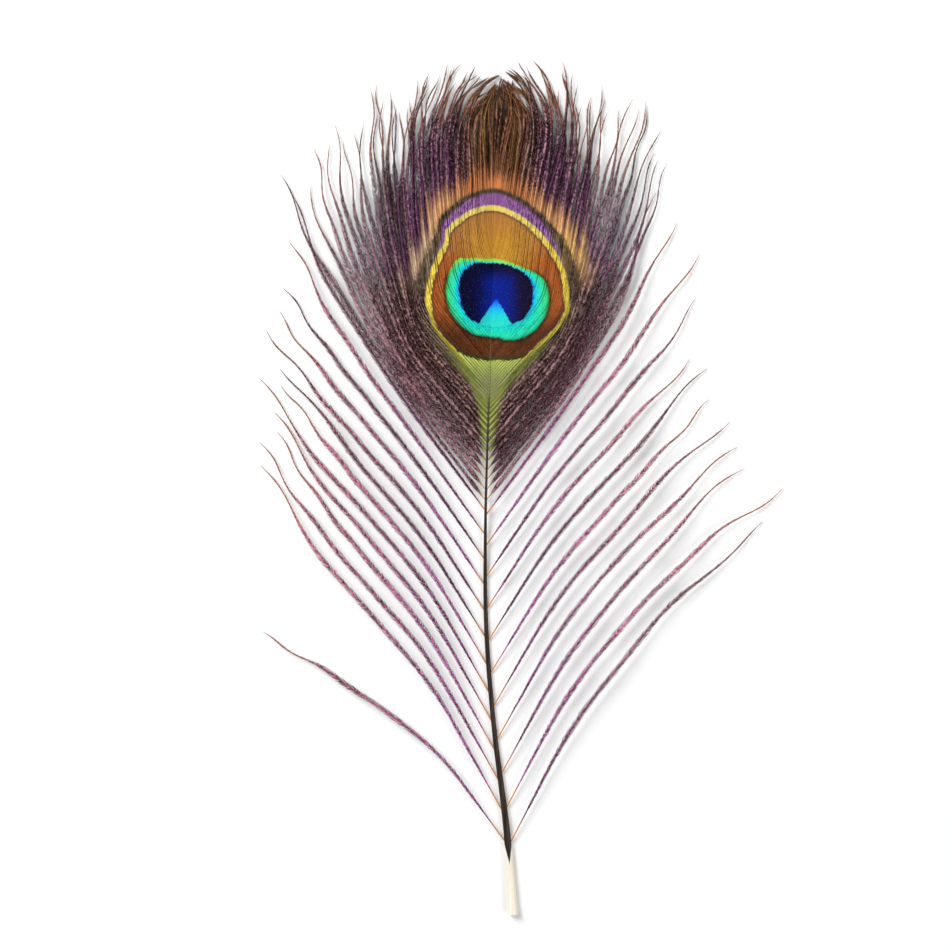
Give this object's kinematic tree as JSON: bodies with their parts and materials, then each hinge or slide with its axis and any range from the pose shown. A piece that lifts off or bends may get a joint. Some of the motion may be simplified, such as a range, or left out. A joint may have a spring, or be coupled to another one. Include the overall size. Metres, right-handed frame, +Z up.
{
  "type": "peacock feather",
  "caption": "Cut peacock eye feather lying on its back: a curved shaft, loose barbs down both sides, and the eye with its fringe.",
  "frame": {"origin": "middle of the feather's box, on the surface it lies on", "axes": "+Y along the feather from the cut end of the quill to the fringe, +X to the right as it is looked down on, +Z up from the surface"},
  "size_m": [0.1814, 0.2824, 0.0053],
  "materials": {
    "shaft": "smooth horn, charcoal above, ivory at the quill",
    "loose_barbs": "dark brown barbs with a mauve sheen and copper tips",
    "side_barbs": "mauve and beige barbs, yellow-green where they meet below the eye",
    "eye_barbs": "silky close barbs: navy, turquoise, bronze, a thin yellow ring, violet, then a mauve fringe"
  },
  "bodies": {
    "root": {"shaft": "shaft", "loose_barb_left_01": "loose_barbs", "loose_barb_left_02": "loose_barbs", "loose_barb_left_03": "loose_barbs", "loose_barb_left_04": "loose_barbs", "loose_barb_left_05": "loose_barbs", "loose_barb_left_06": "loose_barbs", "loose_barb_left_07": "loose_barbs", "loose_barb_left_08": "loose_barbs", "loose_barb_left_09": "loose_barbs", "loose_barb_left_10": "loose_barbs", "loose_barb_left_11": "loose_barbs", "loose_barb_left_12": "loose_barbs", "loose_barb_left_13": "loose_barbs", "loose_barb_right_01": "loose_barbs", "loose_barb_right_02": "loose_barbs", "loose_barb_right_03": "loose_barbs", "loose_barb_right_04": "loose_barbs", "loose_barb_right_05": "loose_barbs", "loose_barb_right_06": "loose_barbs", "loose_barb_right_07": "loose_barbs", "loose_barb_right_08": "loose_barbs", "loose_barb_right_09": "loose_barbs", "loose_barb_right_10": "loose_barbs", "loose_barb_right_11": "loose_barbs", "side_barbs_left": "side_barbs", "side_barbs_right": "side_barbs", "eye_barbs_left": "eye_barbs", "eye_barbs_right": "eye_barbs"}
  },
  "joints": []
}
